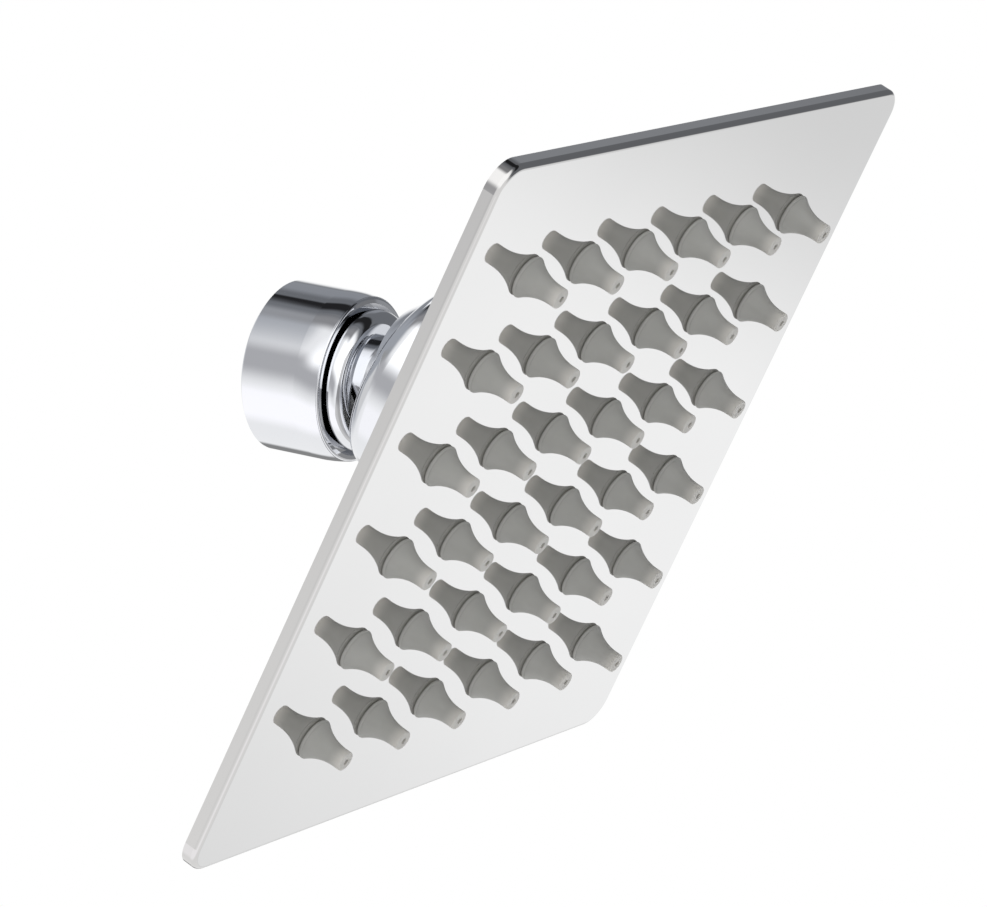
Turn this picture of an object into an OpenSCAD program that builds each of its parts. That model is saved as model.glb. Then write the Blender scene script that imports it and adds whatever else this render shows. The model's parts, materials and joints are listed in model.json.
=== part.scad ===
// Square shower head: a thin stainless plate with silicone nozzles on a ball-jointed inlet nut.
// Millimetres. The origin is the centre of the inlet mouth, +Z is up and the plate is level.
// The inlet leans towards +Y by the tilt, as the head was left on its joint.

/* [Plate] */
// Side of the square plate
plate_side = 120; // [112:1:160]
// Radius of the plate's corners
corner_r = 4.5; // [2:0.5:12]
// Thickness of the plate over its folded rim
plate_t = 2.4; // [2.2:0.1:4]
// Thickness of the face sheet and its rim
face_sheet_t = 0.6; // [0.4:0.1:0.8]
// Thickness of the back sheet
back_sheet_t = 0.6; // [0.4:0.1:0.8]
// Rounding along the front edge
edge_r = 0.8; // [0.2:0.1:1.2]
// Height of the pressed centre above the back
press_rise = 2.4; // [2:0.1:6]
// Radius of the pressed centre's flat top
press_top_r = 20; // [18:0.5:24]
// Radius of the pressed centre at its foot
press_foot_r = 30; // [28:0.5:40]

/* [Nozzles] */
// Rows of nozzles
nozzle_rows = 6; // [2:1:6]
// Nozzles in each row
nozzle_columns = 6; // [2:1:6]
// Distance from the outer nozzles to the plate's side
nozzle_margin = 20; // [14:0.5:26]
// Radius of the nozzle's foot on the face
nozzle_foot_r = 3.35; // [3:0.05:4]
// Height of the nozzle's foot
nozzle_foot_h = 0.7; // [0.4:0.1:1]
// Height at which the flare ends in the straight tip
nozzle_flare_h = 5.2; // [4:0.1:5.6]
// Height of the nozzle above the face
nozzle_h = 6.5; // [6:0.1:8]
// Radius of the nozzle's tip
nozzle_tip_r = 1.6; // [1.4:0.05:2]
// Rounding of the nozzle's tip
nozzle_tip_round = 0.25; // [0.1:0.05:0.5]
// Radius of the outlet
outlet_r = 0.5; // [0.3:0.05:0.7]
// Length of the outlet
outlet_l = 1.4; // [0.8:0.1:2]
// Radius of the nozzle's inner channel
nozzle_bore_r = 1.1; // [0.9:0.05:1.2]
// Radius of the nozzle's waist in the face sheet
nozzle_waist_r = 1.9; // [1.7:0.05:2.4]
// Radius of the nozzle's inner flange
nozzle_flange_r = 2.7; // [2.5:0.05:3]
// Thickness of the nozzle's inner flange
nozzle_flange_t = 0.5; // [0.3:0.1:0.6]

/* [Ball] */
// Lean of the inlet at rest, which is the joint's stop
tilt = 22; // [16:0.5:22]
// Radius of the ball
ball_r = 14.8; // [14.5:0.05:14.9]
// Radius of the ball's flat top
ball_top_r = 12.8; // [12:0.1:13.2]
// Depth of the ball's flat end below its centre
ball_end_z = 12.2; // [11.9:0.1:12.8]
// Radius of the neck between the ball and the nut
neck_r = 7.4; // [7:0.1:8]
// Fillet at the foot of the neck
neck_fillet = 0.9; // [0.4:0.1:1.2]
// Radius of the water way through the ball
ball_bore_r = 4.6; // [4:0.1:5]
// Depth of the bell mouth at the ball's end
bell_mouth_h = 2; // [1:0.1:3]

/* [Inlet nut] */
// Distance from the ball's centre to the inlet mouth
inlet_reach = 29.9; // [29:0.1:34]
// Radius of the nut
nut_r = 13.25; // [12.8:0.05:13.4]
// Height of the nut's lower rim above the ball's centre
nut_rim_z = 16; // [15.8:0.1:16.6]
// Height of the crowned band at the nut's lower end
nut_crown_h = 4.2; // [3:0.1:5]
// Amount by which the crowned band draws in
nut_crown_in = 0.45; // [0.2:0.05:0.8]
// Rounding of the nut's lower rim
nut_rim_r = 0.35; // [0.2:0.05:0.5]
// Chamfer at the inlet mouth
mouth_chamfer = 0.4; // [0.2:0.1:0.6]
// Wall radius of the G1/2 inlet thread
thread_r = 9.5; // [9.3:0.05:9.6]
// Depth of the inlet thread
thread_l = 11.5; // [10:0.1:11.8]
// Radius of the undercut that holds the inlet washer
undercut_r = 10; // [9.8:0.1:10.4]
// Height of that undercut
undercut_h = 2.6; // [2.4:0.1:3.4]
// Radius of the round bead under the nut
bead_r = 11.1; // [10.8:0.05:11.2]
// Rounding of the bead
bead_round = 2.5; // [2.2:0.1:2.5]
// Lowest height of the bead above the ball's centre
bead_z = 12.7; // [12.65:0.05:13.2]
// Width of the groove between the bead and the nut's rim
groove_w = 0.75; // [0.5:0.05:0.9]
// Depth of that groove above the nut's rim
groove_h = 1.4; // [0.8:0.1:2]

/* [Collar] */
// Outer radius of the swivel collar
collar_r = 16.45; // [16.2:0.05:17.2]
// Wall of the collar round the seat ring
collar_wall = 1; // [0.8:0.05:1.1]
// Rounding of the collar's shoulder
shoulder_r = 3.35; // [3.1:0.05:3.4]
// Height of the shoulder's centre above the ball's centre
shoulder_z = 4.8; // [4.4:0.05:4.85]
// Radius of the collar's opening, which the nut passes through
collar_opening_r = 13.45; // [13.45:0.05:13.6]
// Radius of the thread between the collar and the socket
collar_thread_r = 15.7; // [15.6:0.05:15.8]
// Slack between the collar's thread and the socket's
thread_slack = 0.05; // [0.03:0.01:0.1]
// Height of the collar thread's end above the ball's centre
collar_thread_z = -1; // [-3:0.1:0]

/* [Socket] */
// Height of the socket's edge above the ball's centre
socket_edge_z = -5; // [-6:0.1:-4]
// Floor of the socket
socket_floor_t = 1.25; // [1.2:0.05:3]
// Thickness of the socket's flange at its edge
socket_flange_t = 1.6; // [1.2:0.1:2]
// Radius of the socket's water way
socket_bore_r = 5; // [4.6:0.1:5.2]
// Radius of the threaded spigot through the plate
spigot_r = 8; // [7.5:0.1:9]
// Slack of the spigot in the holes of the plate and the gasket
hole_slack = 0.15; // [0.05:0.05:0.5]
// Amount by which the spigot stands out of the lock nut
spigot_proud = 0.4; // [0.2:0.1:0.8]
// Thickness of the gasket under the socket
gasket_t = 0.8; // [0.6:0.1:1.5]
// Outer radius of the gasket
gasket_r = 14; // [12:0.5:16]
// Thickness of the lock nut
lock_nut_t = 2.2; // [1.6:0.1:2.4]
// Width of the lock nut across its flats
lock_nut_af = 22; // [20:0.5:26]

/* [Seals and fittings] */
// Running clearance of the ball in its seats
ball_gap = 0.1; // [0.05:0.01:0.1]
// Running clearance of the seat ring in the collar
ring_gap = 0.06; // [0.03:0.01:0.1]
// Height of the seat ring's lower edge above the ball's centre
seat_ring_z = 0.5; // [0:0.1:1]
// Thickness of the ball's seal ring
seal_d = 1.8; // [1.6:0.1:2]
// Angle of the seal ring from the ball's lower pole
seal_angle = 43; // [42:0.5:45]
// Running clearance of the seal ring in its groove
seal_gap = 0.08; // [0.04:0.01:0.1]
// Thickness of the inlet washer
washer_t = 2; // [1.6:0.1:2.6]
// Inner radius of the inlet washer
washer_bore_r = 6.3; // [6:0.1:7]
// Slack of the inlet washer in its undercut
washer_slack = 0.2; // [0.1:0.05:0.4]
// Thickness of the filter screen
screen_t = 0.4; // [0.3:0.05:0.6]
// Height of the filter screen's dome
screen_h = 2.4; // [1.6:0.1:3]
// Radius of the filter screen's holes
screen_hole_r = 0.45; // [0.3:0.05:0.5]
// Radius of the flow restrictor
restrictor_r = 6; // [5.6:0.1:6.2]
// Height of the flow restrictor
restrictor_h = 3.6; // [3:0.1:3.8]
// Slack round the flow restrictor
restrictor_slack = 0.15; // [0.1:0.05:0.3]
// Wall of the flow restrictor round its open top
restrictor_wall = 1.2; // [1:0.1:1.6]
// Radius of the restrictor's water holes
restrictor_hole_r = 0.8; // [0.5:0.1:1]
// Thickness of the restrictor's seal ring
restrictor_seal_d = 1.2; // [1:0.1:1.6]

/* [Hidden] */
$fn = 96;
eps = 0.01;

// Places on the ball's two axes, measured from the ball's centre
ball_at = -inlet_reach * [0, sin(tilt), cos(tilt)];
seat_r = ball_r + ball_gap;
ball_top_z = sqrt(pow(ball_r, 2) - pow(ball_top_r, 2));
nut_floor_z = inlet_reach - thread_l;
restrictor_seat_z = nut_floor_z - restrictor_h;
bead_round_r = bead_r - bead_round;
bead_round_z = bead_z + bead_round;
crown_z = nut_rim_z + nut_crown_h;
crown_arc_r = (pow(nut_crown_h, 2) + pow(nut_crown_in, 2)) / (2 * nut_crown_in);
rim_r = nut_r - nut_crown_in;

// Places of the socket, the plate and what lies between them
shoulder_c = collar_r - shoulder_r;
socket_floor_z = -sqrt(pow(seat_r, 2) - pow(socket_bore_r, 2));
socket_foot_z = socket_floor_z - socket_floor_t;
flange_top_z = socket_foot_z + socket_flange_t;
press_top_z = socket_foot_z - gasket_t;
back_z = press_top_z - press_rise;
face_z = back_z - plate_t;
spigot_l = gasket_t + back_sheet_t + lock_nut_t + spigot_proud;
inner_side = plate_side - 2 * face_sheet_t;
inner_corner_r = corner_r - face_sheet_t;
press_mid_r = (press_top_r + press_foot_r) / 2;
press_join_r = press_foot_r + back_sheet_t;
pitch_y = (plate_side - 2 * nozzle_margin) / (nozzle_rows - 1);
pitch_x = (plate_side - 2 * nozzle_margin) / (nozzle_columns - 1);
press_arc_r = (pow(press_foot_r - press_top_r, 2) + pow(press_rise, 2)) / (4 * press_rise);
seat_lip_z = sqrt(pow(seat_r, 2) - pow(collar_opening_r, 2));
seal_c_r = (seat_r - ball_gap / 2 - seal_d / 2) * sin(seal_angle);
seal_c_z = -(seat_r - ball_gap / 2 - seal_d / 2) * cos(seal_angle);
foot_round = nozzle_foot_h / 2;
flare_in = nozzle_foot_r - foot_round / 2 - nozzle_tip_r;
flare_up = nozzle_flare_h - nozzle_foot_h;
flare_arc_r = (pow(flare_in, 2) + pow(flare_up, 2)) / (2 * flare_in);
restrictor_seal_c = restrictor_r + restrictor_slack - restrictor_seal_d / 2;

chrome = [0.8, 0.81, 0.83];
steel = [0.86, 0.86, 0.85];
silicone = [0.57, 0.57, 0.53];
rubber = [0.12, 0.12, 0.12];
acetal = [0.93, 0.92, 0.88];
brass = [0.78, 0.66, 0.36];

function nozzle_name(row, column) = str("nozzle_", row, "_", column);

// Draws what is measured from the ball's centre along the leaning inlet
module on_inlet() {
    translate(ball_at)
        rotate([-tilt, 0, 0])
            children();
}

// Draws what is measured from the ball's centre along the plate's axis
module on_head() {
    translate(ball_at)
        children();
}

// A square with round corners
module round_square(side, r) {
    square([side, side - 2 * r], center = true);
    square([side - 2 * r, side], center = true);
    for (x = [-1, 1])
        for (y = [-1, 1])
            translate([x, y] * (side / 2 - r))
                circle(r);
}

// Half section of the nut's body, with its crowned lower band and rounded rim
module nut_section() {
    translate([0, crown_z])
        square([nut_r, inlet_reach - mouth_chamfer - crown_z]);
    translate([0, inlet_reach - mouth_chamfer])
        polygon([
            [0, 0],
            [nut_r, 0],
            [nut_r - mouth_chamfer, mouth_chamfer],
            [0, mouth_chamfer]
        ]);
    intersection() {
        translate([nut_r - crown_arc_r, crown_z])
            circle(crown_arc_r, $fn = 720);
        translate([0, nut_rim_z + nut_rim_r])
            square([nut_r, crown_z - nut_rim_z - nut_rim_r]);
    }
    translate([0, nut_rim_z])
        square([rim_r - nut_rim_r, nut_rim_r + eps]);
    translate([rim_r - nut_rim_r, nut_rim_z + nut_rim_r])
        circle(nut_rim_r);
}

// Half section of the bead, which rounds in to a flat end over the neck
module bead_section() {
    translate([0, bead_round_z])
        square([bead_r, nut_rim_z + groove_h - bead_round_z]);
    translate([0, bead_z])
        square([bead_round_r, bead_round]);
    intersection() {
        translate([bead_round_r, bead_round_z])
            circle(bead_round);
        translate([bead_round_r, bead_z])
            square([bead_round, bead_round]);
    }
}

// Half section of the ball between its two flats
module ball_section() {
    intersection() {
        circle(ball_r);
        translate([0, -ball_end_z])
            square([ball_r, ball_end_z + ball_top_z]);
    }
    translate([0, ball_top_z - eps])
        square([neck_r, bead_z - ball_top_z + 2 * eps]);
    difference() {
        translate([neck_r - eps, ball_top_z - eps])
            square([neck_fillet + eps, neck_fillet + eps]);
        translate([neck_r + neck_fillet, ball_top_z + neck_fillet])
            circle(neck_fillet);
    }
}

// Inlet nut, bead, neck and ball, turned from one bar and chromed
module ball_nut() {
    color(chrome)
    on_inlet()
    difference() {
        rotate_extrude()
            union() {
                difference() {
                    nut_section();
                    translate([bead_r, nut_rim_z - eps])
                        square([groove_w, groove_h + eps]);
                }
                bead_section();
                ball_section();
            }
        translate([0, 0, nut_floor_z])
            cylinder(r = thread_r, h = thread_l + eps);
        translate([0, 0, nut_floor_z])
            cylinder(r = undercut_r, h = undercut_h);
        translate([0, 0, inlet_reach - mouth_chamfer])
            cylinder(r1 = thread_r, r2 = thread_r + 2 * mouth_chamfer, h = 2 * mouth_chamfer);
        translate([0, 0, restrictor_seat_z])
            cylinder(r = restrictor_r + restrictor_slack, h = restrictor_h + eps);
        translate([0, 0, -ball_end_z - eps])
            cylinder(r = ball_bore_r, h = restrictor_seat_z + ball_end_z + 2 * eps);
        translate([0, 0, -ball_end_z - eps])
            cylinder(r1 = ball_bore_r + bell_mouth_h, r2 = ball_bore_r, h = bell_mouth_h + eps);
        rotate_extrude()
            translate([seal_c_r, seal_c_z])
                circle(seal_d / 2 + seal_gap);
    }
}

// Flat rubber washer on the nut's floor, kept in by the undercut
module inlet_washer() {
    color(rubber)
    on_inlet()
    translate([0, 0, nut_floor_z])
        difference() {
            cylinder(r = undercut_r - washer_slack, h = washer_t);
            translate([0, 0, -eps])
                cylinder(r = washer_bore_r, h = washer_t + 2 * eps);
        }
}

// Domed screen held in the washer's bore
module filter_screen() {
    dome_r = (pow(washer_bore_r, 2) + pow(screen_h, 2)) / (2 * screen_h);
    hole_step = 2.6 * screen_hole_r;
    rings = floor((washer_bore_r - 1) / hole_step);
    color(steel)
    on_inlet()
    translate([0, 0, nut_floor_z])
        difference() {
            intersection() {
                translate([0, 0, screen_h - dome_r])
                    sphere(dome_r);
                cylinder(r = washer_bore_r, h = screen_h + eps);
            }
            translate([0, 0, screen_h - dome_r])
                sphere(dome_r - screen_t);
            cylinder(r = screen_hole_r, h = screen_h + 1);
            for (ring = [1 : rings])
                for (i = [0 : 6 * ring - 1])
                    rotate([0, 0, 60 * i / ring])
                        translate([ring * hole_step, 0, -eps])
                            cylinder(r = screen_hole_r, h = screen_h + 1, $fn = 24);
        }
}

// Moulded disc that limits the flow, in the counterbore under the washer
module flow_restrictor() {
    hole_circle_r = restrictor_r / 2;
    color(acetal)
    on_inlet()
    translate([0, 0, restrictor_seat_z])
        difference() {
            cylinder(r = restrictor_r, h = restrictor_h);
            translate([0, 0, restrictor_h / 2])
                cylinder(r = restrictor_r - restrictor_wall, h = restrictor_h);
            for (i = [0 : 5])
                rotate([0, 0, 60 * i])
                    translate([hole_circle_r, 0, -eps])
                        cylinder(r = restrictor_hole_r, h = restrictor_h, $fn = 32);
            rotate_extrude()
                translate([restrictor_seal_c, restrictor_h / 2])
                    circle(restrictor_seal_d / 2);
        }
}

// Rubber ring round the flow restrictor
module restrictor_seal() {
    color(rubber)
    on_inlet()
    rotate_extrude()
        translate([restrictor_seal_c, restrictor_seat_z + restrictor_h / 2])
            circle(restrictor_seal_d / 2);
}

// Rubber ring in the ball's groove, which wipes the socket
module ball_seal() {
    color(rubber)
    on_inlet()
    rotate_extrude()
        translate([seal_c_r, seal_c_z])
            circle(seal_d / 2);
}

// Half section of the space inside the collar, down to a given slack from its wall
module collar_inside(slack) {
    inner_r = collar_r - collar_wall - slack;
    inner_round = shoulder_r - collar_wall - slack;
    translate([0, -ball_r])
        square([inner_r, ball_r + shoulder_z]);
    translate([0, shoulder_z])
        square([shoulder_c, inner_round]);
    intersection() {
        translate([shoulder_c, shoulder_z])
            circle(inner_round);
        translate([shoulder_c, shoulder_z])
            square([inner_round + eps, inner_round + eps]);
    }
}

// Moulded ring that holds the ball down from above
module seat_ring() {
    color(acetal)
    on_head()
    difference() {
        rotate_extrude()
            intersection() {
                collar_inside(ring_gap);
                translate([collar_opening_r - 2, seat_ring_z])
                    square([collar_r, collar_r]);
            }
        sphere(seat_r, $fn = 180);
        translate([0, 0, seat_ring_z - eps])
            cylinder(r = collar_opening_r, h = collar_r);
    }
}

// Domed collar that screws down over the socket and carries the ball
module swivel_collar() {
    color(chrome)
    on_head()
    rotate_extrude()
        difference() {
            union() {
                translate([collar_opening_r, flange_top_z])
                    square([collar_r - collar_opening_r, shoulder_z - flange_top_z]);
                intersection() {
                    translate([shoulder_c, shoulder_z])
                        circle(shoulder_r);
                    translate([collar_opening_r, shoulder_z])
                        square([collar_r, shoulder_r + eps]);
                }
            }
            collar_inside(0);
            translate([0, flange_top_z - eps])
                square([collar_thread_r + thread_slack, collar_thread_z - flange_top_z + eps]);
        }
}

// Brass cup under the ball, with the collar's thread outside and a spigot through the plate
module socket_base() {
    color(brass)
    on_head()
    difference() {
        union() {
            translate([0, 0, socket_foot_z])
                cylinder(r = collar_r, h = socket_flange_t);
            translate([0, 0, flange_top_z])
                cylinder(r = collar_thread_r, h = socket_edge_z - flange_top_z);
            translate([0, 0, socket_foot_z - spigot_l])
                cylinder(r = spigot_r, h = spigot_l);
        }
        sphere(seat_r, $fn = 180);
        translate([0, 0, socket_foot_z - spigot_l - eps])
            cylinder(r = socket_bore_r, h = spigot_l + socket_floor_t + 1);
    }
}

// Rubber gasket between the socket and the pressed centre of the plate
module base_gasket() {
    color(rubber)
    on_head()
    translate([0, 0, press_top_z])
        difference() {
            cylinder(r = gasket_r, h = gasket_t);
            translate([0, 0, -eps])
                cylinder(r = spigot_r + hole_slack, h = gasket_t + 2 * eps);
        }
}

// Thin hexagon nut that clamps the socket from inside the plate
module lock_nut() {
    color(brass)
    on_head()
    translate([0, 0, press_top_z - back_sheet_t - lock_nut_t])
        difference() {
            cylinder(r = lock_nut_af / 2 / cos(30), h = lock_nut_t, $fn = 6);
            translate([0, 0, -eps])
                cylinder(r = spigot_r, h = lock_nut_t + 2 * eps);
        }
}

// Half section of everything under the pressed centre, whose foot is at the given height
module under_press(foot_z) {
    mid_z = foot_z + press_rise / 2;
    translate([0, foot_z - plate_t])
        square([press_top_r, plate_t + press_rise]);
    translate([press_top_r - eps, foot_z - plate_t])
        square([press_mid_r - press_top_r + eps, plate_t + press_rise / 2]);
    translate([press_mid_r - eps, foot_z - plate_t])
        square([press_join_r - press_mid_r + eps, plate_t]);
    intersection() {
        translate([press_top_r, foot_z + press_rise - press_arc_r])
            circle(press_arc_r, $fn = 360);
        translate([press_top_r - eps, mid_z - eps])
            square([press_mid_r - press_top_r + eps, press_rise]);
    }
    difference() {
        translate([press_mid_r - eps, foot_z - eps])
            square([press_foot_r - press_mid_r + eps, press_rise / 2 + eps]);
        translate([press_foot_r, foot_z + press_arc_r])
            circle(press_arc_r, $fn = 360);
    }
}

// Back sheet with its centre pressed up to carry the socket
module back_plate() {
    color(steel)
    on_head() {
        difference() {
            translate([0, 0, back_z - back_sheet_t])
                linear_extrude(back_sheet_t)
                    round_square(inner_side, inner_corner_r);
            translate([0, 0, back_z - back_sheet_t - eps])
                cylinder(r = press_foot_r, h = back_sheet_t + 2 * eps);
        }
        rotate_extrude()
            difference() {
                intersection() {
                    under_press(back_z);
                    translate([spigot_r + hole_slack, face_z])
                        square([press_join_r - spigot_r - hole_slack, plate_t + 2 * press_rise]);
                }
                under_press(back_z - back_sheet_t);
            }
    }
}

// Half section of the plate's edge, square at the back and rounded in front
module edge_section() {
    translate([0, edge_r])
        square([corner_r, plate_t - edge_r]);
    square([corner_r - edge_r, edge_r]);
    intersection() {
        translate([corner_r - edge_r, edge_r])
            circle(edge_r);
        translate([corner_r - edge_r, 0])
            square([edge_r, edge_r]);
    }
}

// The plate's outer block with its rounded front edge
module plate_block() {
    flat_side = plate_side - 2 * corner_r;
    translate([-flat_side / 2, -flat_side / 2, 0])
        cube([flat_side, flat_side, plate_t]);
    for (turn = [0 : 3])
        rotate([0, 0, 90 * turn]) {
            translate([flat_side / 2, flat_side / 2, 0])
                rotate([90, 0, 0])
                    linear_extrude(flat_side)
                        edge_section();
            translate([flat_side / 2, flat_side / 2, 0])
                rotate_extrude(angle = 90)
                    edge_section();
        }
}

// Places the children at each nozzle, or at one of them
module at_nozzle(row, column) {
    translate([
        (column - (nozzle_columns + 1) / 2) * pitch_x,
        ((nozzle_rows + 1) / 2 - row) * pitch_y,
        face_z
    ])
        children();
}

// Face sheet with its rim folded back and a hole for each nozzle
module face_plate() {
    color(steel)
    on_head()
    difference() {
        translate([0, 0, face_z])
            plate_block();
        translate([0, 0, face_z + face_sheet_t])
            linear_extrude(plate_t)
                round_square(inner_side, inner_corner_r);
        for (row = [1 : nozzle_rows])
            for (column = [1 : nozzle_columns])
                at_nozzle(row, column)
                    translate([0, 0, -eps])
                        cylinder(r = nozzle_waist_r, h = face_sheet_t + 2 * eps, $fn = 48);
    }
}

// Half section of a nozzle, drawn with its tip upwards and the face at zero
module nozzle_section() {
    flange_z = -face_sheet_t - nozzle_flange_t;
    difference() {
        union() {
            square([nozzle_foot_r - foot_round, nozzle_foot_h]);
            translate([nozzle_foot_r - foot_round, foot_round])
                circle(foot_round);
            translate([0, nozzle_foot_h - eps])
                square([nozzle_tip_r, nozzle_h - nozzle_tip_round - nozzle_foot_h + eps]);
            square([nozzle_tip_r - nozzle_tip_round, nozzle_h]);
            translate([nozzle_tip_r - nozzle_tip_round, nozzle_h - nozzle_tip_round])
                circle(nozzle_tip_round);
            difference() {
                translate([nozzle_tip_r - eps, nozzle_foot_h - eps])
                    square([flare_in + eps, flare_up]);
                translate([nozzle_tip_r + flare_arc_r, nozzle_flare_h])
                    circle(flare_arc_r, $fn = 180);
            }
            translate([0, -face_sheet_t - eps])
                square([nozzle_waist_r, face_sheet_t + 2 * eps]);
            translate([0, flange_z])
                square([nozzle_flange_r, nozzle_flange_t]);
        }
        translate([-eps, flange_z - eps])
            square([nozzle_bore_r + eps, nozzle_h - outlet_l - flange_z + eps]);
        translate([-eps, 0])
            square([outlet_r + eps, nozzle_h + eps]);
    }
}

// Silicone nozzle, pushed through the face sheet and held by its inner flange
module nozzle(row, column) {
    color(silicone)
    on_head()
    at_nozzle(row, column)
        mirror([0, 0, 1])
            rotate_extrude($fn = 48)
                nozzle_section();
}

ball_nut();
inlet_washer();
filter_screen();
flow_restrictor();
restrictor_seal();
ball_seal();
seat_ring();
swivel_collar();
socket_base();
base_gasket();
lock_nut();
back_plate();
face_plate();
for (row = [1 : nozzle_rows])
    for (column = [1 : nozzle_columns])
        nozzle(row, column);
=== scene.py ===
import json
import math

import bmesh
import bpy
import numpy as np
from mathutils import Matrix, Vector


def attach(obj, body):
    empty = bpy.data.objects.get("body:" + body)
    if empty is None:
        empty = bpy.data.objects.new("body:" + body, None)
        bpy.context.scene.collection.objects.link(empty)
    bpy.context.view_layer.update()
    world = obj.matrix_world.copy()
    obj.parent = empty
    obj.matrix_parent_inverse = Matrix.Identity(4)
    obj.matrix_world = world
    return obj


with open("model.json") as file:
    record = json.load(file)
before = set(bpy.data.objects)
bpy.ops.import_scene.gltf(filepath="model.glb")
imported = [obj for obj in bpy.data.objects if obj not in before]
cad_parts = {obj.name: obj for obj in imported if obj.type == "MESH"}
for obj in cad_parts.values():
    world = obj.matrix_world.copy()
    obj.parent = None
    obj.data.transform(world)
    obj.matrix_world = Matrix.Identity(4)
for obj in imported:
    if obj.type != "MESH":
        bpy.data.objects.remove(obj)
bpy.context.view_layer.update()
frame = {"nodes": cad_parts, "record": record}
nodes = frame["nodes"]

MM = 0.001
TILT = math.radians(22)
INLET_AXIS = Vector((0, math.sin(TILT), math.cos(TILT)))
BALL = -29.9 * MM * INLET_AXIS
FACE_Z = -48.609 * MM
FACE_CENTRE = Vector((0, BALL.y, FACE_Z))
PITCH = 16 * MM

# ---------------------------------------------------------------- camera
right = Vector((0.5148, -0.3901, -0.7634))
up = Vector((0.1474, -0.8370, 0.5270))
forward = Vector((0.8445, 0.3838, 0.3734)).normalized()
right = (right - right.dot(forward) * forward).normalized()
up = (-forward).cross(right).normalized()
cam_data = bpy.data.cameras.new("camera")
cam_data.sensor_width = 36
cam_data.lens = 5449.6 / 987 * 36
cam_data.clip_start = 0.01
cam_data.clip_end = 50
cam = bpy.data.objects.new("camera", cam_data)
bpy.context.scene.collection.objects.link(cam)
place = Matrix((right, up, -forward)).transposed().to_4x4()
place.translation = FACE_CENTRE + Vector((-696.96, -312.96, -297.48)) * MM
cam.matrix_world = place
bpy.context.scene.camera = cam
bpy.context.scene.view_settings.view_transform = "Standard"


# ---------------------------------------------------------------- node helpers
class Tree:
    """Short names for building a node tree."""

    def __init__(self, tree):
        self.t = tree
        tree.nodes.clear()

    def node(self, kind, **settings):
        n = self.t.nodes.new(kind)
        for key, value in settings.items():
            setattr(n, key, value)
        return n

    def put(self, socket, value):
        if isinstance(value, bpy.types.NodeSocket):
            self.t.links.new(value, socket)
        elif value is not None:
            socket.default_value = value

    def math(self, op, a, b=None, c=None, clamp=False):
        n = self.node("ShaderNodeMath", operation=op, use_clamp=clamp)
        for socket, value in zip(n.inputs, (a, b, c)):
            self.put(socket, value)
        return n.outputs[0]

    def dot(self, vector, axis):
        n = self.node("ShaderNodeVectorMath", operation="DOT_PRODUCT")
        self.put(n.inputs[0], vector)
        self.put(n.inputs[1], axis)
        return n.outputs["Value"]

    def step(self, value, low, high):
        """0 below low, 1 above high, smooth between; the other way round if low > high."""
        n = self.node("ShaderNodeMapRange", interpolation_type="SMOOTHSTEP")
        self.put(n.inputs["Value"], value)
        n.inputs["From Min"].default_value = min(low, high)
        n.inputs["From Max"].default_value = max(low, high)
        n.inputs["To Min"].default_value = 0.0 if low < high else 1.0
        n.inputs["To Max"].default_value = 1.0 if low < high else 0.0
        return n.outputs["Result"]

    def mix(self, factor, a, b):
        n = self.node("ShaderNodeMix", data_type="RGBA")
        self.put(n.inputs["Factor"], factor)
        self.put(n.inputs["A"], a)
        self.put(n.inputs["B"], b)
        return n.outputs["Result"]

    def noise(self, vector, scale, detail=2.0, roughness=0.5):
        n = self.node("ShaderNodeTexNoise")
        self.put(n.inputs["Vector"], vector)
        n.inputs["Scale"].default_value = scale
        n.inputs["Detail"].default_value = detail
        n.inputs["Roughness"].default_value = roughness
        return n.outputs["Fac"]


def grey(v):
    return (v, v, v, 1.0)


def srgb(r, g, b):
    def lin(c):
        c /= 255
        return c / 12.92 if c <= 0.04045 else ((c + 0.055) / 1.055) ** 2.4
    return (lin(r), lin(g), lin(b), 1.0)


# ---------------------------------------------------------------- studio
world = bpy.data.worlds.new("studio")
bpy.context.scene.world = world
world.use_nodes = True
w = Tree(world.node_tree)
direction = w.node("ShaderNodeTexCoord").outputs["Generated"]


split = w.node("ShaderNodeSeparateXYZ")
w.put(split.inputs[0], direction)
azimuth = w.math("MULTIPLY", w.math("ARCTAN2", split.outputs["Y"], split.outputs["X"]), 180 / math.pi)
elevation = w.math("MULTIPLY", w.math("ARCSINE", split.outputs["Z"]), 180 / math.pi)


def card(value, az, el, soft_az=(6, 6), soft_el=(6, 6), tint=(1.0, 1.0, 1.0), slope=0.0):
    """A panel in the studio between two azimuths and two elevations, in degrees, with soft edges."""
    global room
    centre, half = (az[0] + az[1]) / 2, (az[1] - az[0]) / 2
    a = w.math("WRAP", w.math("SUBTRACT", azimuth, centre), 180, -180)
    e = elevation
    if slope:
        e = w.math("SUBTRACT", elevation, w.math("MULTIPLY", a, slope))
    mask = None
    for angle, low, high, (s0, s1) in ((a, -half, half, soft_az), (e, el[0], el[1], soft_el)):
        if low > -180:
            step = w.step(angle, low - s0 / 2, low + s0 / 2)
            mask = step if mask is None else w.math("MULTIPLY", mask, step)
        if high < 180:
            step = w.step(angle, high + s1 / 2, high - s1 / 2)
            mask = step if mask is None else w.math("MULTIPLY", mask, step)
    room = w.mix(mask, room, (value * tint[0], value * tint[1], value * tint[2], 1.0))


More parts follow.
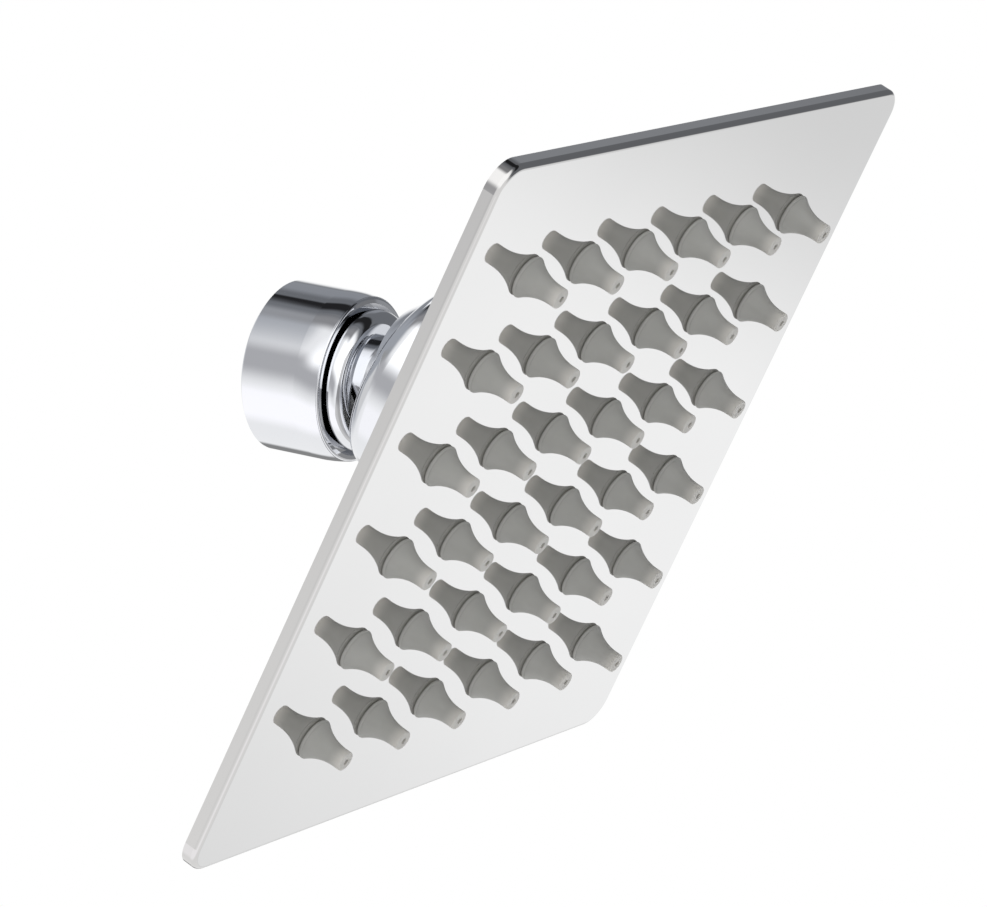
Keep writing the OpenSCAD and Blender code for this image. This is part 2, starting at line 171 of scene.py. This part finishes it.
COOL = (0.94, 0.98, 1.06)
room = grey(0.97)
card(0.412, (-179, 179), (46, 90), soft_az=(1, 1), soft_el=(22, 1), tint=COOL)
card(0.719, (94.9, 170.6), (44.6, 73.6), soft_az=(19.9, 20.1), soft_el=(9.3, 9.7))
card(0.348, (-176.7, -151.5), (52.5, 90), soft_az=(30.2, 30.1), soft_el=(10.1, 2))
card(1.18, (104.3, 145.7), (-60, 25.2), soft_az=(19.9, 12.9), soft_el=(30, 18), tint=(1, 0.99, 1.01))
card(0.478, (159.8, 197.6), (-14.3, 60.3), soft_az=(24.5, 21.1), soft_el=(24.1, 19.9), tint=(0.99, 0.99, 1.02))
card(1.41, (-168.7, -98.6), (-60, 27.5), soft_az=(23.2, 35.7), soft_el=(4, 15.7))
card(0.294, (-111.1, -83.4), (4, 54.1), soft_az=(16.8, 8.4), soft_el=(15.6, 6.6), tint=(0.99, 0.99, 1.02))
card(0.17, (-88.8, 2.8), (-70, 61.7), soft_az=(16.2, 16.5), soft_el=(20, 26.2), tint=COOL)
card(0.301, (-35.8, -3.3), (20, 60.1), soft_az=(18, 10.7), soft_el=(6.3, 10), tint=COOL)
card(0.0192, (-74.4, -54), (-44, 53.1), soft_az=(10.4, 5.5), soft_el=(20, 2.9), tint=(0.98, 0.98, 1.05))
card(1.21, (-50.4, -13.9), (47.1, 55), soft_az=(8.2, 8), soft_el=(1.5, 4), slope=-0.25)
card(0.256, (30, 56.5), (5.8, 24), soft_az=(4, 9.2), soft_el=(8.8, 8))
card(0.91, (8, 40), (-46, -6), soft_az=(14, 14), soft_el=(10, 10), tint=(0.99, 1, 1.01))
card(1.24, (20.8, 29), (-46, -6), soft_az=(3.9, 10), soft_el=(10, 10), tint=(0.99, 1, 1.01))

light_path = w.node("ShaderNodeLightPath")
background = w.node("ShaderNodeBackground")
plain = w.node("ShaderNodeBackground")
plain.inputs["Color"].default_value = grey(1.0)
w.put(background.inputs["Color"], room)
select = w.node("ShaderNodeMixShader")
w.put(select.inputs["Fac"], light_path.outputs["Is Camera Ray"])
w.put(select.inputs[1], background.outputs[0])
w.put(select.inputs[2], plain.outputs[0])
out = w.node("ShaderNodeOutputWorld")
w.put(out.inputs["Surface"], select.outputs[0])


# ---------------------------------------------------------------- materials
def material(name):
    m = bpy.data.materials.new(name)
    m.use_nodes = True
    t = Tree(m.node_tree)
    shader = t.node("ShaderNodeBsdfPrincipled")
    output = t.node("ShaderNodeOutputMaterial")
    t.put(output.inputs["Surface"], shader.outputs[0])
    place = t.node("ShaderNodeTexCoord").outputs["Object"]
    return m, t, shader, place


def bump(t, shader, height, strength, distance):
    n = t.node("ShaderNodeBump")
    n.inputs["Strength"].default_value = strength
    n.inputs["Distance"].default_value = distance
    t.put(n.inputs["Height"], height)
    t.put(shader.inputs["Normal"], n.outputs[0])


def metal(name, low, high, rough_low, rough_high, scale, wave=0.0, wave_scale=30.0):
    m, t, s, place = material(name)
    patch = t.noise(place, scale, 3.0)
    t.put(s.inputs["Base Color"], t.mix(patch, low, high))
    n = t.node("ShaderNodeMapRange")
    t.put(n.inputs["Value"], t.noise(place, scale * 2.3, 4.0))
    n.inputs["To Min"].default_value = rough_low
    n.inputs["To Max"].default_value = rough_high
    t.put(s.inputs["Roughness"], n.outputs["Result"])
    s.inputs["Metallic"].default_value = 1.0
    if wave:
        bump(t, s, t.noise(place, wave_scale, 1.0), 1.0, wave)
    return m


def plastic(name, low, high, rough, scale, grain=0.00002, grain_scale=900.0, subsurface=0.0):
    m, t, s, place = material(name)
    t.put(s.inputs["Base Color"], t.mix(t.noise(place, scale, 3.0), low, high))
    s.inputs["Roughness"].default_value = rough
    if subsurface:
        s.inputs["Subsurface Weight"].default_value = subsurface
        s.inputs["Subsurface Radius"].default_value = (0.002, 0.002, 0.0018)
        s.inputs["Subsurface Scale"].default_value = 1.0
    bump(t, s, t.noise(place, grain_scale, 2.0), 0.5, grain)
    return m


chrome = metal("chrome_plate", srgb(228, 230, 234), srgb(236, 237, 240), 0.02, 0.05, 60)
mirror = metal("polished_sheet", srgb(210, 209, 208), srgb(215, 214, 213), 0.015, 0.04, 25)
brass = metal("turned_brass", srgb(196, 164, 96), srgb(214, 184, 118), 0.18, 0.3, 90)
screen = metal("screen_wire", srgb(176, 177, 178), srgb(200, 200, 200), 0.25, 0.4, 200)
rubber = plastic("black_rubber", srgb(28, 28, 29), srgb(38, 38, 39), 0.6, 120)
acetal = plastic("moulded_acetal", srgb(232, 229, 220), srgb(240, 238, 230), 0.35, 60, subsurface=0.2)

silicone, t, s, place = material("grey_silicone")
xyz = t.node("ShaderNodeSeparateXYZ")
t.put(xyz.inputs[0], place)
height = t.math("SUBTRACT", FACE_Z, xyz.outputs["Z"])
# Painted light: the nozzle tips get a lighter base colour, a painted glow standing in for light that shows
# through the thin translucent silicone.
painted_tip_glow = t.step(height, 4.2 * MM, 6.4 * MM)
base = t.mix(t.noise(place, 250, 3.0), srgb(184, 184, 178), srgb(199, 198, 193))
t.put(s.inputs["Base Color"], t.mix(painted_tip_glow, base, srgb(227, 224, 217)))
s.inputs["Roughness"].default_value = 0.48
s.inputs["Subsurface Weight"].default_value = 0.25
s.inputs["Subsurface Radius"].default_value = (0.0015, 0.0015, 0.0014)
s.inputs["Subsurface Scale"].default_value = 1.0
bump(t, s, t.noise(place, 1800, 2.0), 0.4, 0.00001)

FINISH = {
    "chrome_brass": chrome,
    "polished_steel": mirror,
    "silicone": silicone,
    "rubber_black": rubber,
    "acetal_white": acetal,
    "brass_plain": brass,
    "screen_steel": screen,
}
for sub in frame["record"]["subparts"]:
    piece = nodes[sub["node"]]
    piece.data.materials.clear()
    piece.data.materials.append(FINISH[sub["material_slot"]])


# ---------------------------------------------------------------- inlet thread
def inlet_thread():
    """The female G1/2 thread, as a helical ridge on the nut's bore."""
    pitch, root, crest = 1.814 * MM, 9.56 * MM, 9.0 * MM
    start, end, steps = -20.9 + 29.9 - 0.6, 0.0, 96
    low, high = -8.6 * MM, -0.5 * MM
    turns = (high - low) / pitch
    count = int(turns * steps)
    shape = [(root, -0.48), (crest + 0.1 * MM, -0.12), (crest, 0.0), (crest + 0.1 * MM, 0.12), (root, 0.48)]
    bm = bmesh.new()
    rows = []
    for i in range(count + 1):
        a = 2 * math.pi * i / steps
        fade = min(1.0, i / (steps * 0.4), (count - i) / (steps * 0.4))
        z = low + pitch * i / steps
        row = []
        for r, dz in shape:
            rr = root - (root - r) * max(fade, 0.02)
            row.append(bm.verts.new((rr * math.cos(a), rr * math.sin(a), z + dz * pitch)))
        rows.append(row)
    for p, q in zip(rows, rows[1:]):
        for j in range(len(shape) - 1):
            bm.faces.new((p[j], q[j], q[j + 1], p[j + 1]))
    mesh = bpy.data.meshes.new("inlet_thread")
    bm.to_mesh(mesh)
    bm.free()
    mesh.transform(Matrix.Rotation(-TILT, 4, "X"))
    for f in mesh.polygons:
        f.use_smooth = True
    mesh.materials.append(brass)
    o = bpy.data.objects.new("inlet_thread", mesh)
    bpy.context.scene.collection.objects.link(o)
    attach(o, "inlet")


inlet_thread()


# ---------------------------------------------------------------- floor
def floor():
    mesh = bpy.data.meshes.new("floor")
    bm = bmesh.new()
    bmesh.ops.create_circle(bm, cap_ends=True, segments=96, radius=8.0)
    bm.to_mesh(mesh)
    bm.free()
    m, t, s, place = material("floor")
    s.inputs["Roughness"].default_value = 0.9
    t.put(s.inputs["Base Color"], t.mix(t.noise(place, 3.0), grey(0.90), grey(0.92)))
    see = t.node("ShaderNodeBsdfTransparent")
    length = t.node("ShaderNodeVectorMath", operation="LENGTH")
    t.put(length.inputs[0], place)
    fade = t.step(length.outputs["Value"], 2.5, 7.8)
    back = t.node("ShaderNodeNewGeometry").outputs["Backfacing"]
    blend = t.node("ShaderNodeMixShader")
    t.put(blend.inputs["Fac"], t.math("MAXIMUM", fade, back))
    t.put(blend.inputs[1], s.outputs[0])
    t.put(blend.inputs[2], see.outputs[0])
    output = [n for n in m.node_tree.nodes if n.type == "OUTPUT_MATERIAL"][0]
    t.put(output.inputs["Surface"], blend.outputs[0])
    mesh.materials.append(m)
    o = bpy.data.objects.new("floor", mesh)
    o.location = (0, 0, -1.0)
    o.visible_glossy = False
    bpy.context.scene.collection.objects.link(o)


floor()
